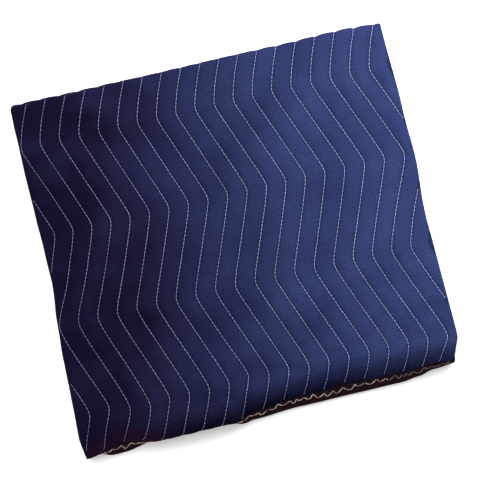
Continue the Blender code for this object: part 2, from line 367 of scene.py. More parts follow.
def front_start(number):
    """Where a front fold begins to turn, so that it clears the inside of the flap."""
    fold = FRONT_FOLDS[number]
    flap = max(inside_of_flap(ply_top(2 * number + 2)), inside_of_flap(ply_bottom(2 * number + 3)))
    return flap + BEHIND_FLAP + abs(fold.skew) / 2 + fold.short + FOLD_BULGE


def front_arc(number):
    """The outer face of a front fold, from its lower ply round to its upper one."""
    upper = 2 * number + 2
    top = ply_top(upper)
    bottom = ply_bottom(upper + 1)
    skew = FRONT_FOLDS[number].skew
    lines = []
    for step in range(FRONT_FOLD_STEPS + 1):
        turn = math.pi * step / FRONT_FOLD_STEPS
        ply = upper + 1 if turn < math.pi / 2 else upper
        y = front_start(number) - FOLD_BULGE * math.sin(turn)
        z = (top + bottom) / 2 - (top - bottom) / 2 * math.cos(turn)
        lines.append(Line(y, z, None, run_on(ply, y), (ply - 1) // 2, HIDDEN_EVERY, skew))
    return lines


def folded_section():
    """The folded section, once round: up the flap, along one face of the cloth and back along the other."""
    ledge_turn = math.acos((HEM_LEDGE - ROLL_BASE) / ROLL_DROP)
    ledge_run = TOP_RUN + ROLL_RUN * ledge_turn / (math.pi / 2)
    hem_outside = FRONT + HEM_RECESS
    hem_inside = FRONT + CLOTH - HEM_RECESS
    hem_heights = (0.0, TAPE_WIDTH / 2, TAPE_WIDTH)
    hem_run = ledge_run + TAPE_WIDTH

    # Up the outside of the flap, and over the top.
    lines = [Line(hem_outside, HEM_MIDDLE + up, None, hem_run - up, 0, hem=1.0) for up in hem_heights]
    lines += [outside_line(run) for run in spread(ledge_run, TOP_RUN, ROLL_SPACING)]
    lines += [outside_line(run) for run in spread(TOP_RUN, 0.0, TOP_SPACING)[1:]]

    # Round each back fold, and forward and back between them, down to the underside.
    for number, fold in enumerate(BACK_FOLDS):
        first_step = 1 if number == 0 else 0
        fold_steps = range(first_step, FOLD_STEPS + 1)
        lines += [fold_line(number, math.pi * step / FOLD_STEPS) for step in fold_steps]
        lower = 2 * number + 2
        back = BACK - FOLD_BULGE - fold.short
        if number < len(FRONT_FOLDS):
            front = front_start(number) + FOLD_GAP
            skew = FRONT_FOLDS[number].skew
            following = BACK_FOLDS[number + 1]
            next_back = BACK - FOLD_BULGE - following.short - FOLD_GAP
            lines += hidden_lines(lower, ply_bottom(lower), back - FOLD_GAP, front, fold.skew, skew)
            lines += hidden_lines(lower + 1, ply_top(lower + 1), front, next_back, skew, following.skew)
    end = FRONT + CLOTH + BEHIND_FLAP + LAST_PLY_SHORT
    lines += [under_line(y) for y in spread(back - UNDER_FROM_FOLD, end, UNDER_SPACING)]

    # Back along the other face, round each front fold, up to the top ply.
    start, start_skew = end, 0.0
    for number in reversed(range(len(BACK_FOLDS))):
        fold = BACK_FOLDS[number]
        lower = 2 * number + 2
        back = BACK - FOLD_BULGE - fold.short - FOLD_GAP
        lines += hidden_lines(lower, ply_top(lower), start, back, start_skew, fold.skew)
        if number > 0:
            start = front_start(number - 1) + PAST_FOLD
            start_skew = FRONT_FOLDS[number - 1].skew
            lines += hidden_lines(lower - 1, ply_bottom(lower - 1), back, start, fold.skew, start_skew)
            lines += front_arc(number - 1)
    lines += hidden_lines(1, ply_bottom(1), back, FRONT + ROLL_DEPTH + BEHIND_ROLL, fold.skew, 0.0)

    # Down the inside of the flap.
    for step in range(FOLD_STEPS):
        lines.append(roll_line(ledge_turn * step / FOLD_STEPS, CLOTH)._replace(out=None))
    lines.append(Line(FRONT + CLOTH, HEM_LEDGE, None, ledge_run, 0, hem=1.0))
    lines += [Line(hem_inside, HEM_MIDDLE + up, None, hem_run - up, 0, hem=1.0) for up in hem_heights[::-1]]
    return lines


def crease_height(x, run):
    """How far the creases lift the top ply at a place."""
    height = 0.0
    for crease in CREASES:
        across, along = crease.to_x - crease.x, crease.to_along - crease.along
        length = math.hypot(across, along)
        on = ((x - crease.x) * across + (run - crease.along) * along) / length
        aside = ((x - crease.x) * along - (run - crease.along) * across) / length
        past = max(0.0, -on, on - length)
        height += crease.height * math.exp(-(aside * aside + past * past) / crease.width ** 2)
    return height


def quilt_height(to_row, x, run):
    """How far the outer face stands out at a place, to_row from the nearest stitch row."""
    plump = PLUMP + PLUMP_VARIES * waver(x, run, waves=(22.0, 22.0), seed=4.0)
    grown = smooth((run + CROWN_START) / CROWN_REACH)
    crown = CROWN * (CROWN_AT_FOLD + (1.0 - CROWN_AT_FOLD) * grown)
    height = crown * plump * math.sin(math.pi * to_row / STITCH_PITCH)
    height -= QUILT_DEPTH * plump * math.exp(-to_row / GROOVE)
    gathered = waver(x, run, waves=(26.0, 105.0), seed=8.0)
    height += GATHERS * gathered * (GATHERS_BETWEEN + math.exp(-to_row / GATHERS_REACH))
    askew = [x * across + run * along for across, along in RUMPLE_ASKEW]
    height += RUMPLE * waver(*askew, waves=(1.0, 1.0), seed=2.0)
    if run > -CREASES_REACH:
        height += crease_height(x, run)
    return max(height, THINNEST - CLOTH)


def thinned_fold(pair, z, share):
    """A height on a pair of plies, once each has this share of its thickness, next to their gap."""
    middle = ply_bottom(2 * pair + 1) - PLY_GAP / 2
    away = abs(z - middle)
    beyond = max(0.0, away - PLY_GAP / 2)
    return middle + math.copysign(min(away, PLY_GAP / 2) + beyond * share, z - middle)


def thinned_roll(y, z, share):
    """A place on the roll, once the cloth has this share of its thickness, next to its inner face."""
    if z <= HEM_LEDGE + HEM_MIDDLE:
        return y, z
    centre = FRONT + ROLL_DEPTH
    reach = math.hypot((y - centre) / (ROLL_DEPTH - CLOTH), (z - ROLL_BASE) / (ROLL_DROP - CLOTH))
    nearer = (1.0 + (reach - 1.0) * share) / reach
    return centre + (y - centre) * nearer, ROLL_BASE + (z - ROLL_BASE) * nearer


def near_side(x, reach):
    """How near the packet's left or right side a place is: 1 at the side, and 0 from a reach inwards."""
    return smooth(1.0 - (WIDTH / 2 - abs(x)) / reach)


def corner_short(x, y, pair, rolled):
    """How far a place stops short of the side, so that the packet's corners are rounded."""
    flap_corner = FLAP_CORNER_RIGHT if x > 0.0 else FLAP_CORNER_LEFT
    short = flap_corner * smooth((FRONT + ROLL_DEPTH - y) / ROLL_DEPTH)
    if not rolled:
        fold = BACK_FOLDS[pair]
        into_fold = y - BACK + FOLD_BULGE + fold.short - fold.skew * x / WIDTH
        short += FOLD_BULGE * quarter_round(into_fold / FOLD_BULGE)
    return short


def thinned(x, y, z, pair, rolled):
    """Where a place is once the pairs of plies are rounded at the side, each as one fold."""
    inside = WIDTH / 2 - abs(x)
    if inside >= SIDE_ROUND:
        return y, z
    share = 1.0 - (1.0 - SIDE_CLOTH) * quarter_round(1.0 - inside / SIDE_ROUND)
    if rolled:
        return thinned_roll(y, z, share)
    return y, thinned_fold(pair, z, share)


def bowed_out(x, y, pair, corner):
    """Where a place is across the packet, once its side bows and its folds stop short of it."""
    right = x > 0.0
    fold = BACK_FOLDS[pair]
    uneven = SIDE_UNEVEN * waver(y, pair, waves=(16.0, 3.7), seed=9.0 if right else 2.0)
    short = corner + (fold.right if right else fold.left) + uneven
    lean = (abs(x) / (WIDTH / 2)) ** BOW_POWER
    bow = eased(RIGHT_BOW if right else LEFT_BOW, y)
    outward = lean * bow - near_side(x, SIDE_REACH) * short
    return x + outward if right else x - outward


def drawn_forward(x, y, z, pair, rolled):
    """How far forward a place comes, by the bows of the front and the back, the flare and the tuck."""
    forward = bowed_forward(x, y)
    low = smooth(1.0 - z / FOOT_TOP) ** FOOT_POWER
    if rolled:
        forward += eased(HEM_FLARE, x) * low + HEM_UNEVEN * waver(x, z, waves=(14.0, 14.0), seed=6.0)
    else:
        forward -= eased(PLY_TUCK, x) * low * smooth(1.0 - (y - FRONT) / TUCK_REACH)
    near_back = smooth(1.0 - (BACK - y) / BACK_REACH)
    return forward - near_back * (BACK_BOW + BACK_UNEVEN * waver(x, pair, waves=(9.0, 2.9), seed=5.0))


def settled(x, y, z, pair, run):
    """Where a place on the flat folds comes to lie once the packet is pressed, handled and set down."""
    rolled = run > TOP_RUN
    pressed = SIDE_THINNING * near_side(x, SIDE_REACH)
    near_edge = near_side(x, SIDE_EDGE)
    corner = corner_short(x, y, pair, rolled)
    y, z = thinned(x, y, z, pair, rolled)
    x = bowed_out(x, y, pair, corner)
    y -= drawn_forward(x, y, z, pair, rolled)
    z *= 1.0 - pressed - SIDE_DROOP * (z / HEIGHT) * near_edge
    z *= 1.0 + HEIGHT_UNEVEN * waver(x, y, waves=(7.0, 7.0), seed=1.7)
    return x, y, max(z, 0.0)


def column_place(column):
    """Where a column crosses the cloth, and how far it is from the nearest row."""
    row, step = divmod(column, len(BETWEEN_ROWS))
    share = BETWEEN_ROWS[step]
    across = (row + share - (STITCH_ROWS - 1) / 2) * STITCH_PITCH + STITCH_OFFSET
    return across, min(share, 1.0 - share) * STITCH_PITCH


def ring_of_points(bm, line, cloth_place, cloth_pair):
    """A line's points from left to right, by column."""
    ring = {}
    for column in range(0, COLUMNS, line.every):
        across, to_row = column_place(column)
        x, y, z = across, line.y, line.z
        if line.out:
            x += row_swing(across, y, line.run)
            raised = quilt_height(to_row, x, line.run)
            y += raised * line.out[0]
            z += raised * line.out[1]
        y += line.skew * x / WIDTH
        z += line.hem * hem_rise(x)
        point = bm.verts.new((x, y, z))
        point[cloth_place] = (x, line.run, across)
        point[cloth_pair] = line.pair
        ring[column] = point
    return ring


def loft(bm, rings):
    """Joins the rings of points into faces, all the way round the section."""
    for ring, following in zip(rings, rings[1:] + rings[:1]):
        shared = sorted(ring.keys() & following.keys())
        for first, last in zip(shared, shared[1:]):
            near = [ring[column] for column in range(first, last + 1) if column in ring]
            far = [following[column] for column in range(first, last + 1) if column in following]
            bm.faces.new(near + far[::-1])


def cut_across(bm, x, trim):
    """Cuts the cloth along its section at x. A trim takes away what lies beyond, and closes the end."""
    cut = bmesh.ops.bisect_plane(
        bm,
        geom=bm.verts[:] + bm.edges[:] + bm.faces[:],
        dist=1e-6,
        plane_co=(x, 0.0, 0.0),
        plane_no=(math.copysign(1.0, x), 0.0, 0.0),
        clear_outer=trim,
    )
    if trim:
        rim = [edge for edge in cut["geom_cut"] if isinstance(edge, bmesh.types.BMEdge)]
        end = bmesh.ops.contextual_create(bm, geom=rim)
        bmesh.ops.triangulate(bm, faces=end["faces"])


def new_piece(name, bm):
    """A smooth-shaded object from a mesh."""
    bmesh.ops.recalc_face_normals(bm, faces=bm.faces[:])
    mesh = bpy.data.meshes.new(name)
    bm.to_mesh(mesh)
    bm.free()
    mesh.shade_smooth()
    piece = bpy.data.objects.new(name, mesh)
    bpy.context.scene.collection.objects.link(piece)
    return piece


bm = bmesh.new()
cloth_place = bm.verts.layers.float_vector.new("cloth_place")
cloth_pair = bm.verts.layers.float.new("cloth_pair")
loft(bm, [ring_of_points(bm, line, cloth_place, cloth_pair) for line in folded_section()])
for side in (-1.0, 1.0):
    cut_across(bm, side * WIDTH / 2, trim=True)
    for inside in SIDE_LOOPS:
        cut_across(bm, side * (WIDTH / 2 - inside), trim=False)
for point in bm.verts:
    run = point[cloth_place].y
    point.co = settled(*point.co, round(point[cloth_pair]), run)
quilted_cloth = new_piece("quilted_cloth", bm)


def node_group(name, inputs, outputs):
    """A shader node group, and the nodes at its two ends."""
    group = bpy.data.node_groups.new(name, "ShaderNodeTree")
    for socket, kind, value in inputs:
        made = group.interface.new_socket(socket, in_out="INPUT", socket_type=kind)
        if value is not None:
            made.default_value = value
    for socket, kind in outputs:
        group.interface.new_socket(socket, in_out="OUTPUT", socket_type=kind)
    return group, group.nodes.new("NodeGroupInput"), group.nodes.new("NodeGroupOutput")


def feed(tree, node, values):
    """Gives sockets of a node a value each, or a link where the value is another node's output."""
    for socket, value in values.items():
        if isinstance(value, bpy.types.NodeSocket):
            tree.links.new(value, node.inputs[socket])
        else:
            node.inputs[socket].default_value = value


def calculate(tree, operation, *values):
    """A Math node. A value is a number or another node's output."""
    node = tree.nodes.new("ShaderNodeMath")
    node.operation = operation
    feed(tree, node, dict(enumerate(values)))
    return node.outputs[0]


def ramp(tree, value, start, end, low=0.0, high=1.0, soft=False):
    """A mask that runs from low to high while a value runs from start to end."""
    node = tree.nodes.new("ShaderNodeMapRange")
    node.interpolation_type = "SMOOTHSTEP" if soft else "LINEAR"
    feed(tree, node, {"Value": value, "From Min": start, "From Max": end, "To Min": low, "To Max": high})
    return node.outputs["Result"]


def separated(tree, vector):
    """The three coordinates of a vector."""
    node = tree.nodes.new("ShaderNodeSeparateXYZ")
    feed(tree, node, {"Vector": vector})
    return node.outputs["X"], node.outputs["Y"], node.outputs["Z"]


def joined(tree, first, second):
    """A vector from two coordinates."""
    node = tree.nodes.new("ShaderNodeCombineXYZ")
    feed(tree, node, {"X": first, "Y": second})
    return node.outputs["Vector"]


def bumped(tree, height, distance, strength):
    """A Bump node, whose height bends the normal."""
    node = tree.nodes.new("ShaderNodeBump")
    feed(tree, node, {"Height": height, "Distance": distance, "Strength": strength})
    return node


def placed_group(tree, group, **values):
    """A node group placed in a tree, with its own values or links."""
    node = tree.nodes.new("ShaderNodeGroup")
    node.node_tree = group
    feed(tree, node, values)
    return node


# Mottling: soft patches, as dye, dirt, wear and fibres leave them. Mask runs from Low to High.
MOTTLE_FLOOR = 0.3
MOTTLE_CEILING = 0.7

mottle, mottle_in, mottle_out = node_group(
    "mottle",
    (
        ("Place", "NodeSocketVector", None),
        ("Scale", "NodeSocketFloat", 100.0),
        ("Detail", "NodeSocketFloat", 2.0),
        ("Low", "NodeSocketFloat", 0.0),
        ("High", "NodeSocketFloat", 1.0),
    ),
    (("Mask", "NodeSocketFloat"),),
)
place, scale, detail, low, high = mottle_in.outputs[:5]
patches = mottle.nodes.new("ShaderNodeTexNoise")
feed(mottle, patches, {"Vector": place, "Scale": scale, "Detail": detail})
mask = ramp(mottle, patches.outputs["Fac"], MOTTLE_FLOOR, MOTTLE_CEILING, low, high)
feed(mottle, mottle_out, {"Mask": mask})


def mottled(tree, place, size, detail, low=0.0, high=1.0):
    """Mottling in patches of a size in metres."""
    node = placed_group(tree, mottle, Place=place, Scale=1.0 / size, Detail=detail, Low=low, High=high)
    return node.outputs["Mask"]


# Plain weave: warp and weft yarns pass over each other in turn. Height is for a Bump node, and Tone
# varies from yarn to yarn.
YARN_DIP = 0.45

weave, weave_in, weave_out = node_group(
    "plain weave",
    (("Place", "NodeSocketVector", None), ("Yarn", "NodeSocketFloat", 0.001)),
    (("Height", "NodeSocketFloat"), ("Tone", "NodeSocketFloat")),
)


def yarn_across(place):
    """The number of the yarn at a place along one axis, and how round it stands there."""
    yarn = calculate(weave, "DIVIDE", place, weave_in.outputs["Yarn"])
    stroke = calculate(weave, "SINE", calculate(weave, "MULTIPLY", yarn, math.pi))
    return calculate(weave, "FLOOR", yarn), calculate(weave, "ABSOLUTE", stroke)


def yarn_over(yarn_round, other_round):
    """A yarn's height, which dips between the yarns that cross it."""
    bend = calculate(weave, "ADD", YARN_DIP, calculate(weave, "MULTIPLY", other_round, 1.0 - YARN_DIP))
    return calculate(weave, "MULTIPLY", yarn_round, bend)


across_warp, across_weft, _ = separated(weave, weave_in.outputs["Place"])
warp_number, warp_round = yarn_across(across_warp)
weft_number, weft_round = yarn_across(across_weft)
warp_up = calculate(weave, "PINGPONG", calculate(weave, "ADD", warp_number, weft_number), 1.0)
weft_up = calculate(weave, "SUBTRACT", 1.0, warp_up)
warp_height = calculate(weave, "MULTIPLY", yarn_over(warp_round, weft_round), warp_up)
weft_height = calculate(weave, "MULTIPLY", yarn_over(weft_round, warp_round), weft_up)
warp_shown = calculate(weave, "MULTIPLY", warp_number, warp_up)
weft_shown = calculate(weave, "MULTIPLY", weft_number, weft_up)
tone = weave.nodes.new("ShaderNodeTexWhiteNoise")
feed(weave, tone, {"Vector": joined(weave, warp_shown, weft_shown)})
woven_height = calculate(weave, "ADD", warp_height, weft_height)
feed(weave, weave_out, {"Height": woven_height, "Tone": tone.outputs["Value"]})


def new_material(name):
    """A material, its tree and its Principled shader."""
    material = bpy.data.materials.new(name)
    material.use_nodes = True
    return material, material.node_tree, material.node_tree.nodes["Principled BSDF"]


def carried_place(tree):
    """The place on the flat cloth that a piece's points carry with them."""
    node = tree.nodes.new("ShaderNodeAttribute")
    node.attribute_name = "cloth_place"
    return node.outputs["Vector"]


def blended(tree, share, first, second, strength=1.0):
    """A colour some share of the way from one to another. strength makes the share smaller."""
    if strength < 1.0:
        share = calculate(tree, "MULTIPLY", share, strength)
    node = tree.nodes.new("ShaderNodeMix")
    node.data_type = "RGBA"
    feed(tree, node, {"Factor": share, "A": first, "B": second})
    return node.outputs["Result"]


def finish(tree, shader, colour, normal, mask, roughness, rougher, shine):
    """Gives a shader its colour, its normal, its shine, and a roughness that is rougher where a mask is 1."""
    varied = calculate(tree, "ADD", roughness, calculate(tree, "MULTIPLY", mask, rougher))
    feed(tree, shader, {"Base Color": colour, "Roughness": varied, "Normal": normal})
    feed(tree, shader, {"Specular IOR Level": shine})


# The shells are a navy with random dye patches. They are painted lighter and bluer to the right and darker
# and more purple to the left, as painted light and painted shade, most of all on the outer ply. Down the roll
# towards the hem the cloth has painted shade, darker still and plum at its left end, and painted shade lies
# in the stitch grooves.
NAVY_LIT_BLUE = (0.0165, 0.0250, 0.0830, 1.0)
NAVY_LIT_BLUE_WORN = (0.0320, 0.0460, 0.1290, 1.0)
NAVY_SHADED_PURPLE = (0.0041, 0.0025, 0.0115, 1.0)
NAVY_SHADED_PURPLE_WORN = (0.0082, 0.0062, 0.0240, 1.0)
NAVY_SHADE_AND_FIBRES = (0.0022, 0.0013, 0.0065, 1.0)
NAVY_PLUM_SHADE = (0.0115, 0.0032, 0.0135, 1.0)
FAINT_SHEEN = (0.60, 0.65, 0.95, 1.0)
CLOTH_YARN = 0.0009
LIT_BLUE_FROM = 0.21
SHADED_PURPLE_FROM = -0.24
PLUM_FROM = -0.10
PLUM_TO = -0.16
INNER_SIDE_SHADE = 0.60
FOLD_RUN = 0.012
HEM_SHADE_FROM = TOP_RUN + 0.008
HEM_SHADE_TO = TOP_RUN + 0.036
HEM_SHADE_EVENLY = 0.75
GROOVE_SHADE_REACH = 0.0016
PUCKERS_BETWEEN = 0.3

navy_cloth, tree, shader = new_material("navy quilted cloth")
x_place, run_place, row_place = separated(tree, carried_place(tree))
flat_place = joined(tree, x_place, run_place)
worn = mottled(tree, flat_place, size=0.060, detail=3.0, high=0.55)
dyed = mottled(tree, flat_place, size=0.090, detail=2.0, low=-0.15, high=0.15)
fibres = mottled(tree, flat_place, size=0.0022, detail=5.0)
puckers = mottled(tree, flat_place, size=0.0045, detail=2.0)
cloth_weave = placed_group(tree, weave, Place=flat_place, Yarn=CLOTH_YARN)
# Painted shade in the stitch grooves, partly the darker pinched yarns there: the cloth darkens close to each
# row. The same nearness makes the puckers stronger by the rows. The dark navy also colours the fibres.
from_row = calculate(tree, "SUBTRACT", row_place, STITCH_OFFSET)
to_row = calculate(tree, "PINGPONG", from_row, STITCH_PITCH / 2)
groove_shade = calculate(tree, "EXPONENT", calculate(tree, "DIVIDE", to_row, -GROOVE_SHADE_REACH))
# Painted light and shade across the packet: lighter and bluer to the right, darker and more purple to the
# left, less on the inner plies, with random dye patches added.
shaded_leftward = ramp(tree, x_place, LIT_BLUE_FROM, SHADED_PURPLE_FROM, soft=True)
outer_ply = ramp(tree, run_place, -FOLD_RUN, 0.0, low=INNER_SIDE_SHADE)
uneven = calculate(tree, "MULTIPLY", calculate(tree, "ADD", shaded_leftward, dyed), outer_ply)
# Painted shade down the roll: the cloth darkens towards the hem, more so to the left, and turns plum at the
# left end.
hem_shade_mask = ramp(tree, run_place, HEM_SHADE_FROM, HEM_SHADE_TO)
hem_shade = calculate(tree, "MULTIPLY", hem_shade_mask, calculate(tree, "ADD", uneven, HEM_SHADE_EVENLY))
leftmost = ramp(tree, x_place, PLUM_FROM, PLUM_TO)

lit_blue = blended(tree, worn, NAVY_LIT_BLUE, NAVY_LIT_BLUE_WORN)
shaded_purple = blended(tree, worn, NAVY_SHADED_PURPLE, NAVY_SHADED_PURPLE_WORN)
worn_side_shaded = blended(tree, uneven, NAVY_LIT_BLUE_WORN, NAVY_SHADED_PURPLE_WORN)
hem_shade_colour = blended(tree, leftmost, NAVY_SHADE_AND_FIBRES, NAVY_PLUM_SHADE)
colour = blended(tree, uneven, lit_blue, shaded_purple)
colour = blended(tree, cloth_weave.outputs["Tone"], colour, worn_side_shaded, strength=0.25)
colour = blended(tree, fibres, colour, NAVY_SHADE_AND_FIBRES, strength=0.44)
colour = blended(tree, groove_shade, colour, NAVY_SHADE_AND_FIBRES, strength=0.75)
colour = blended(tree, hem_shade, colour, hem_shade_colour, strength=0.85)
puckered = calculate(tree, "MULTIPLY", puckers, calculate(tree, "ADD", PUCKERS_BETWEEN, groove_shade))
soft = bumped(tree, puckered, distance=0.0014, strength=0.75)
woven = bumped(tree, cloth_weave.outputs["Height"], distance=0.00025, strength=0.6)
feed(tree, woven, {"Normal": soft.outputs["Normal"]})
finish(tree, shader, colour, woven.outputs["Normal"], fibres, roughness=0.70, rougher=0.18, shine=0.0)
feed(tree, shader, {"Sheen Weight": 0.02, "Sheen Roughness": 0.40, "Sheen Tint": FAINT_SHEEN})
quilted_cloth.data.materials.append(navy_cloth)

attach(quilted_cloth, "root")
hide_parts("blanket")


# ------------------------------------------------------------
# The quilting thread. A pale lavender thread, sewn right through the shells and the batting. Each
# stitch is pulled down at its two needle holes and lies proud of the cloth between them.
# ------------------------------------------------------------

QUILT_STITCH = 0.0052
QUILT_THREAD_RADIUS = 0.00045
THREAD_SIDES = 6

# Where the rows show: from under the tape's edge to halfway round the first back fold, along the
# underside, and over the middle of each other back fold. A stretch at a side with fewer stitches than
# FEWEST_STITCHES is left out.
SIDE_MARGIN = 0.0020
UNDER_TAPE = 0.0006
UNDER_FRONT = 0.012
UNDER_BACK = 0.001
FOLD_SEWN = 0.0040
FEWEST_STITCHES = 5

# Five places along a stitch: their shares of its length, and their lifts and radii in thread radii.
STITCH_SHARES = (0.04, 0.22, 0.50, 0.78, 0.96)
STITCH_LIFTS = (-0.2, 0.50, 0.75, 0.50, -0.2)
STITCH_WIDTHS = (0.60, 0.92, 1.0, 0.92, 0.60)

cloth_surface = BVHTree.FromObject(quilted_cloth, bpy.context.evaluated_depsgraph_get())


def join_rings(bm, rings):
    """Joins rings of equally many points into the sides of a tube."""
    for ring, following in zip(rings, rings[1:]):
        for step, point in enumerate(ring):
            after = (step + 1) % len(ring)
            bm.faces.new((point, ring[after], following[after], following[step]))


def add_stitch(bm, points, out, thread_radius):
    """A short thread along points, thinner at its ends. out points away from the cloth."""
    along = points[-1] - points[0]
    across = along.cross(out).normalized()
    out = across.cross(along).normalized()
    turns = [2.0 * math.pi * step / THREAD_SIDES for step in range(THREAD_SIDES)]
    ways = [math.cos(turn) * across + math.sin(turn) * out for turn in turns]
    rings = []
    for point, width in zip(points, STITCH_WIDTHS):
        radius = thread_radius * width
        rings.append([bm.verts.new(point + radius * way) for way in ways])
    join_rings(bm, rings)
    bm.faces.new(rings[0][::-1])
    bm.faces.new(rings[-1])


def on_row(line, row, above):
    """A place above the cloth where a row crosses a line of it, or None past the packet's sides."""
    across, to_row = column_place(row * len(BETWEEN_ROWS))
    x = across + row_swing(across, line.y, line.run)
    if abs(x) > WIDTH / 2 - SIDE_MARGIN:
        return None
    raised = quilt_height(to_row, x, line.run)
    y = line.y + raised * line.out[0] + line.skew * x / WIDTH
    z = line.z + raised * line.out[1] + line.hem * hem_rise(x)
    place, normal, _, _ = cloth_surface.find_nearest(settled(x, y, z, line.pair, line.run))
    return place + above * normal


def sew_row(bm, line_at, start, end, row, fewest=1):
    """Sews one row. line_at gives the line of the cloth at a length along it, from start to end."""
    count = max(1, round((end - start) / QUILT_STITCH))
    step = (end - start) / count
    sewn = []
    for number in range(count + 1):
        first = start + number * step
        # A stitch past the packet's side ends a stretch of stitches, and so does the end of the row.
        points = [None]
        if number < count:
            points = [
                on_row(line_at(first + share * step), row, lift * QUILT_THREAD_RADIUS)
                for share, lift in zip(STITCH_SHARES, STITCH_LIFTS)
            ]
        if None not in points:
            sewn.append((points, line_at(first + step / 2).out))
            continue
        if len(sewn) >= fewest:
            for stitch, (out_y, out_z) in sewn:
                add_stitch(bm, stitch, Vector((0.0, out_y, out_z)), QUILT_THREAD_RADIUS)
        sewn = []


tape_turn = math.acos((HEM_MIDDLE + TAPE_WIDTH - UNDER_TAPE - ROLL_BASE) / ROLL_DROP)
top_sewn = (-math.pi / 2 * FOLD_BULGE, TOP_RUN + ROLL_RUN * tape_turn / (math.pi / 2))
under_sewn = (FRONT + UNDER_FRONT, BACK - FOLD_BULGE - BACK_FOLDS[-1].short - UNDER_BACK)
fold_middle = math.pi / 2 * FOLD_BULGE

top_thread_mesh = bmesh.new()
fold_thread_mesh = bmesh.new()
under_thread_mesh = bmesh.new()
for row in range(STITCH_ROWS):
    sew_row(top_thread_mesh, outside_line, *top_sewn, row, FEWEST_STITCHES)
    sew_row(under_thread_mesh, under_line, *under_sewn, row, FEWEST_STITCHES)
    for number in range(1, len(BACK_FOLDS)):
        sew_row(
            fold_thread_mesh,
            lambda length, number=number: fold_line(number, length / FOLD_BULGE),
            fold_middle - FOLD_SEWN,
            fold_middle + FOLD_SEWN,
            row,
        )

top_thread = new_piece("quilting_thread_top", top_thread_mesh)
fold_thread = new_piece("quilting_thread_folds", fold_thread_mesh)
under_thread = new_piece("quilting_thread_under", under_thread_mesh)

# Twisted thread: fine strands wind round it. Strand is for its colour and roughness.
STRAND = 0.0006

twist, twist_in, twist_out = node_group(
    "thread twist",
    (("Place", "NodeSocketVector", None),),
    (("Strand", "NodeSocketFloat"), ("Normal", "NodeSocketVector")),
)
strand = mottled(twist, twist_in.outputs["Place"], size=STRAND, detail=2.0)
strand_bump = bumped(twist, strand, distance=0.0002, strength=0.5)
feed(twist, twist_out, {"Strand": strand, "Normal": strand_bump.outputs["Normal"]})

THREAD_PALE = (0.24, 0.28, 0.54, 1.0)
THREAD_GREY = (0.095, 0.086, 0.130, 1.0)
THREAD_SHADE_LEFTWARD = 1.6

lavender_thread, tree, shader = new_material("lavender quilting thread")
where = tree.nodes.new("ShaderNodeTexCoord").outputs["Object"]
x_place, _, _ = separated(tree, where)
twisted = placed_group(tree, twist, Place=where)
strands, relief = twisted.outputs["Strand"], twisted.outputs["Normal"]
soiled = mottled(tree, where, size=0.030, detail=3.0, low=0.15, high=0.65)
# Painted shade: the thread is greyer towards the left, as the cloth is, on top of random soiling.
soiled_and_shaded = calculate(tree, "ADD", soiled, calculate(tree, "MULTIPLY", x_place, -THREAD_SHADE_LEFTWARD))
colour = blended(tree, soiled_and_shaded, THREAD_PALE, THREAD_GREY)
colour = blended(tree, strands, colour, THREAD_GREY, strength=0.35)
finish(tree, shader, colour, relief, strands, roughness=0.45, rougher=0.25, shine=0.15)
for thread in (top_thread, fold_thread, under_thread):
    thread.data.materials.append(lavender_thread)
    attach(thread, "root")


# ------------------------------------------------------------
# The hem binding. A dark woven tape, folded lengthways over the cut edge of the flap, so that one leg
# lies on its outside and one on its inside. It is sewn down through both legs.
# ------------------------------------------------------------

TAPE_THICKNESS = 0.0008
TAPE_GAP = 0.00035
TAPE_STATION = 0.0030

# The tape's upper edges fray and ripple over TAPE_LOOSE, and are thinner by TAPE_EDGE.
TAPE_FRAY = 0.0006
TAPE_RIPPLE = 0.0004
TAPE_LOOSE = 0.010
TAPE_EDGE = 0.55

# It turns under the hem in a flattened half circle: where this starts and how far it drops, in its radius.
TAPE_TURN_STEPS = 8
TAPE_TURN_UP = 0.4
TAPE_TURN_DROP = 0.55

# Any run past the roll will do for the tape and its thread, which settle as the flap does.
PAST_ROLL = 0.01

tape_out = TAPE_GAP + TAPE_THICKNESS / 2
tape_front = FRONT + HEM_RECESS - tape_out
tape_back = FRONT + CLOTH - HEM_RECESS + tape_out
tape_top = TAPE_WIDTH - TAPE_GAP
tape_round = (tape_back - tape_front) / 2
turn_up = tape_round * TAPE_TURN_UP
turn_drop = tape_round * TAPE_TURN_DROP
flap_run = TOP_RUN + ROLL_RUN + PAST_ROLL


def tape_path():
    """The middle of the tape, from its front leg's top, under the hem and up its back leg: place, way out."""
    path = [((tape_front, z), (-1.0, 0.0)) for z in spread(tape_top, turn_up, TAPE_STATION)]
    for step in range(1, TAPE_TURN_STEPS):
        turn = math.pi * step / TAPE_TURN_STEPS
        y = tape_front + tape_round * (1.0 - math.cos(turn))
        z = turn_up - turn_drop * math.sin(turn)
        path.append(((y, z), (-math.cos(turn), -math.sin(turn))))
    path += [((tape_back, z), (1.0, 0.0)) for z in spread(turn_up, tape_top, TAPE_STATION)]
    return path


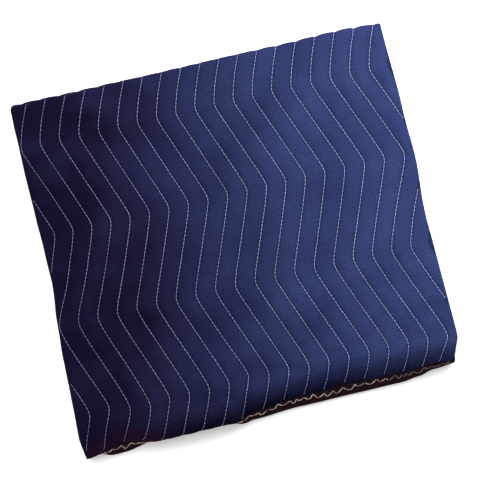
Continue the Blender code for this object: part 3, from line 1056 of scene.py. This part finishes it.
def tape_ring(bm, x, cloth_place):
    """The tape's outline at x: its outer face one way, and its inner face back."""
    path = tape_path()
    frayed = TAPE_FRAY * waver(x, 0.0, waves=(60.0, 60.0), seed=3.0)
    rippled = TAPE_RIPPLE * waver(x, 0.0, waves=(35.0, 35.0), seed=11.0)
    outline = []
    length = 0.0
    for index, ((y, z), (out_y, out_z)) in enumerate(path):
        if index > 0:
            length += math.dist((y, z), path[index - 1][0])
        at_top = smooth((z - tape_top + TAPE_LOOSE) / TAPE_LOOSE)
        half = TAPE_THICKNESS / 2 * (TAPE_EDGE if index in (0, len(path) - 1) else 1.0)
        outline.append((y, z + at_top * frayed, out_y * half, out_z * half, length, at_top * rippled * out_y))
    ring = []
    for sign, stations in ((1.0, outline), (-1.0, outline[::-1])):
        for y, z, out_y, out_z, length, ripple in stations:
            flat = Vector((x, y + sign * out_y + ripple, z + sign * out_z + HEM_MIDDLE + hem_rise(x)))
            point = bm.verts.new(settled(*flat, 0, flap_run))
            point[cloth_place] = (x, length, 0.0)
            ring.append(point)
    return ring


bm = bmesh.new()
cloth_place = bm.verts.layers.float_vector.new("cloth_place")
rings = [tape_ring(bm, x, cloth_place) for x in spread(-WIDTH / 2, WIDTH / 2, TAPE_STATION)]
join_rings(bm, rings)
for ring in (rings[0], rings[-1]):
    for step in range(len(ring) // 2 - 1):
        bm.faces.new((ring[step], ring[step + 1], ring[-2 - step], ring[-1 - step]))
binding_tape = new_piece("binding_tape", bm)

TAPE_BROWN = (0.0150, 0.0085, 0.0100, 1.0)
TAPE_MAROON = (0.0260, 0.0075, 0.0120, 1.0)
TAPE_DARK = (0.0040, 0.0024, 0.0034, 1.0)
TAPE_YARN = 0.0006

maroon_tape, tree, shader = new_material("maroon woven tape")
tape_place = carried_place(tree)
tape_weave = placed_group(tree, weave, Place=tape_place, Yarn=TAPE_YARN)
faded = mottled(tree, tape_place, size=0.040, detail=3.0, high=0.9)
fibres = mottled(tree, tape_place, size=0.0016, detail=4.0)
colour = blended(tree, faded, TAPE_BROWN, TAPE_MAROON)
colour = blended(tree, tape_weave.outputs["Tone"], colour, TAPE_DARK, strength=0.35)
colour = blended(tree, fibres, colour, TAPE_DARK, strength=0.25)
ribs = bumped(tree, tape_weave.outputs["Height"], distance=0.0002, strength=0.7)
finish(tree, shader, colour, ribs.outputs["Normal"], fibres, roughness=0.55, rougher=0.2, shine=0.0)
binding_tape.data.materials.append(maroon_tape)

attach(binding_tape, "root")
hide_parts("hem_binding")


# ------------------------------------------------------------
# The binding's stitching. A cream thread, sewn in an uneven zigzag near the tape's upper edge, as on
# any blanket that is bound at speed. It is soiled in places, and darker and greyer towards the right end.
# ------------------------------------------------------------

BIND_STROKES = (0.0022, 0.0100)
BIND_REACH = (0.0016, 0.0075)
BIND_BELOW = 0.0066
BIND_DRIFT = 0.0024
BIND_PAST_EDGE = 0.0004
BIND_MARGIN = 0.004
BIND_THREAD_RADIUS = 0.00068
BIND_SEED = 11


def bind_place(x, z, above):
    """A place above the tape's front leg."""
    flat = (x, tape_front - TAPE_THICKNESS / 2 - above, z + HEM_MIDDLE + hem_rise(x))
    return Vector(settled(*flat, 0, flap_run))


bm = bmesh.new()
sewing = random.Random(BIND_SEED)
turns = []
x = BIND_MARGIN - WIDTH / 2
while x < WIDTH / 2 - BIND_MARGIN:
    reach = sewing.uniform(*BIND_REACH)
    drift = BIND_DRIFT * waver(x, 1.0, waves=(21.0, 7.0), seed=1.0)
    height = tape_top - BIND_BELOW + drift + (reach if len(turns) % 2 else -reach)
    turns.append((x, min(height, tape_top + BIND_PAST_EDGE)))
    x += sewing.uniform(*BIND_STROKES)
for (x, z), (to_x, to_z) in zip(turns, turns[1:]):
    points = []
    for share, lift in zip(STITCH_SHARES, STITCH_LIFTS):
        points.append(bind_place(x + (to_x - x) * share, z + (to_z - z) * share, lift * BIND_THREAD_RADIUS))
    add_stitch(bm, points, Vector((0.0, -1.0, 0.0)), BIND_THREAD_RADIUS)
binding_thread = new_piece("binding_thread", bm)

CREAM = (0.66, 0.53, 0.48, 1.0)
TAN = (0.13, 0.080, 0.072, 1.0)
THREAD_DARK_GREY = (0.055, 0.055, 0.075, 1.0)
DARK_GREY_FROM = 0.135
DARK_GREY_TO = 0.165

cream_thread, tree, shader = new_material("cream binding thread")
where = tree.nodes.new("ShaderNodeTexCoord").outputs["Object"]
x_place, _, _ = separated(tree, where)
twisted = placed_group(tree, twist, Place=where)
strands, relief = twisted.outputs["Strand"], twisted.outputs["Normal"]
soiled = mottled(tree, where, size=0.009, detail=2.0, low=-0.2, high=1.1)
# Towards the right end the thread turns darker and greyer.
rightmost = ramp(tree, x_place, DARK_GREY_FROM, DARK_GREY_TO, high=0.85, soft=True)
colour = blended(tree, soiled, CREAM, TAN)
colour = blended(tree, strands, colour, TAN, strength=0.3)
colour = blended(tree, rightmost, colour, THREAD_DARK_GREY)
finish(tree, shader, colour, relief, strands, roughness=0.5, rougher=0.25, shine=0.15)
binding_thread.data.materials.append(cream_thread)

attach(binding_thread, "root")


# ------------------------------------------------------------
# The stage. A plain pale floor, faintly lit from within as a shooting table is, a soft box at the right
# and back, one overhead and a weak one at the left, and a camera high over the packet's front.
# ------------------------------------------------------------

FLOOR_HALF = 6.0
FLOOR_BELOW = 0.0002
FLOOR_PALE = (0.93, 0.93, 0.93, 1.0)
FLOOR_PALER = (0.95, 0.95, 0.95, 1.0)
WHITE = (1.0, 1.0, 1.0, 1.0)
FLOOR_ROUGHNESS = 0.8
FLOOR_GLOW = 0.30
ROOM_GLOW = 0.42

bm = bmesh.new()
lowered = Matrix.Translation((0.0, 0.0, -FLOOR_BELOW))
bmesh.ops.create_grid(bm, x_segments=1, y_segments=1, size=FLOOR_HALF, matrix=lowered)
floor = new_piece("pale_floor", bm)

pale_floor, tree, shader = new_material("pale floor")
where = tree.nodes.new("ShaderNodeTexCoord").outputs["Object"]
brushed = mottled(tree, where, size=0.5, detail=2.0)
colour = blended(tree, brushed, FLOOR_PALE, FLOOR_PALER)
feed(tree, shader, {"Base Color": colour, "Roughness": FLOOR_ROUGHNESS})
feed(tree, shader, {"Emission Color": WHITE, "Emission Strength": FLOOR_GLOW})
floor.data.materials.append(pale_floor)


def soft_light(name, place, size, power, tint):
    """A square soft box that looks at the packet."""
    lamp = bpy.data.lights.new(name, "AREA")
    lamp.size = size
    lamp.energy = power
    lamp.color = tint
    box = bpy.data.objects.new(name, lamp)
    box.location = place
    box.rotation_euler = (-Vector(place)).to_track_quat("-Z", "Y").to_euler()
    bpy.context.scene.collection.objects.link(box)


soft_light("key", place=(0.90, 0.58, 0.80), size=1.1, power=34.0, tint=(1.0, 0.98, 0.96))
soft_light("fill", place=(-0.3, 0.4, 2.6), size=2.4, power=66.0, tint=(0.95, 0.97, 1.0))
soft_light("left", place=(-2.0, 0.3, 0.5), size=1.4, power=26.0, tint=(0.97, 0.98, 1.0))

world = bpy.data.worlds.new("studio")
world.use_nodes = True
feed(world.node_tree, world.node_tree.nodes["Background"], {"Color": WHITE, "Strength": ROOM_GLOW})
bpy.context.scene.world = world
bpy.context.scene.view_settings.view_transform = "Standard"

CAMERA_AZIMUTH = math.radians(-1.0)
CAMERA_ELEVATION = math.radians(73.5)
CAMERA_ROLL = math.radians(-11.98)
CAMERA_DISTANCE = 4.0
CAMERA_TARGET = Vector((0.0055, -0.0068, 0.030))
CAMERA_VIEW_WIDTH = 0.6368

away = Vector(
    (
        math.sin(CAMERA_AZIMUTH) * math.cos(CAMERA_ELEVATION),
        -math.cos(CAMERA_AZIMUTH) * math.cos(CAMERA_ELEVATION),
        math.sin(CAMERA_ELEVATION),
    )
)
camera = bpy.data.objects.new("camera", bpy.data.cameras.new("camera"))
camera.data.angle = 2.0 * math.atan(CAMERA_VIEW_WIDTH / 2 / CAMERA_DISTANCE)
camera.matrix_world = (
    Matrix.Translation(CAMERA_TARGET + away * CAMERA_DISTANCE)
    @ away.to_track_quat("Z", "Y").to_matrix().to_4x4()
    @ Matrix.Rotation(CAMERA_ROLL, 4, "Z")
)
bpy.context.scene.collection.objects.link(camera)
bpy.context.scene.camera = camera
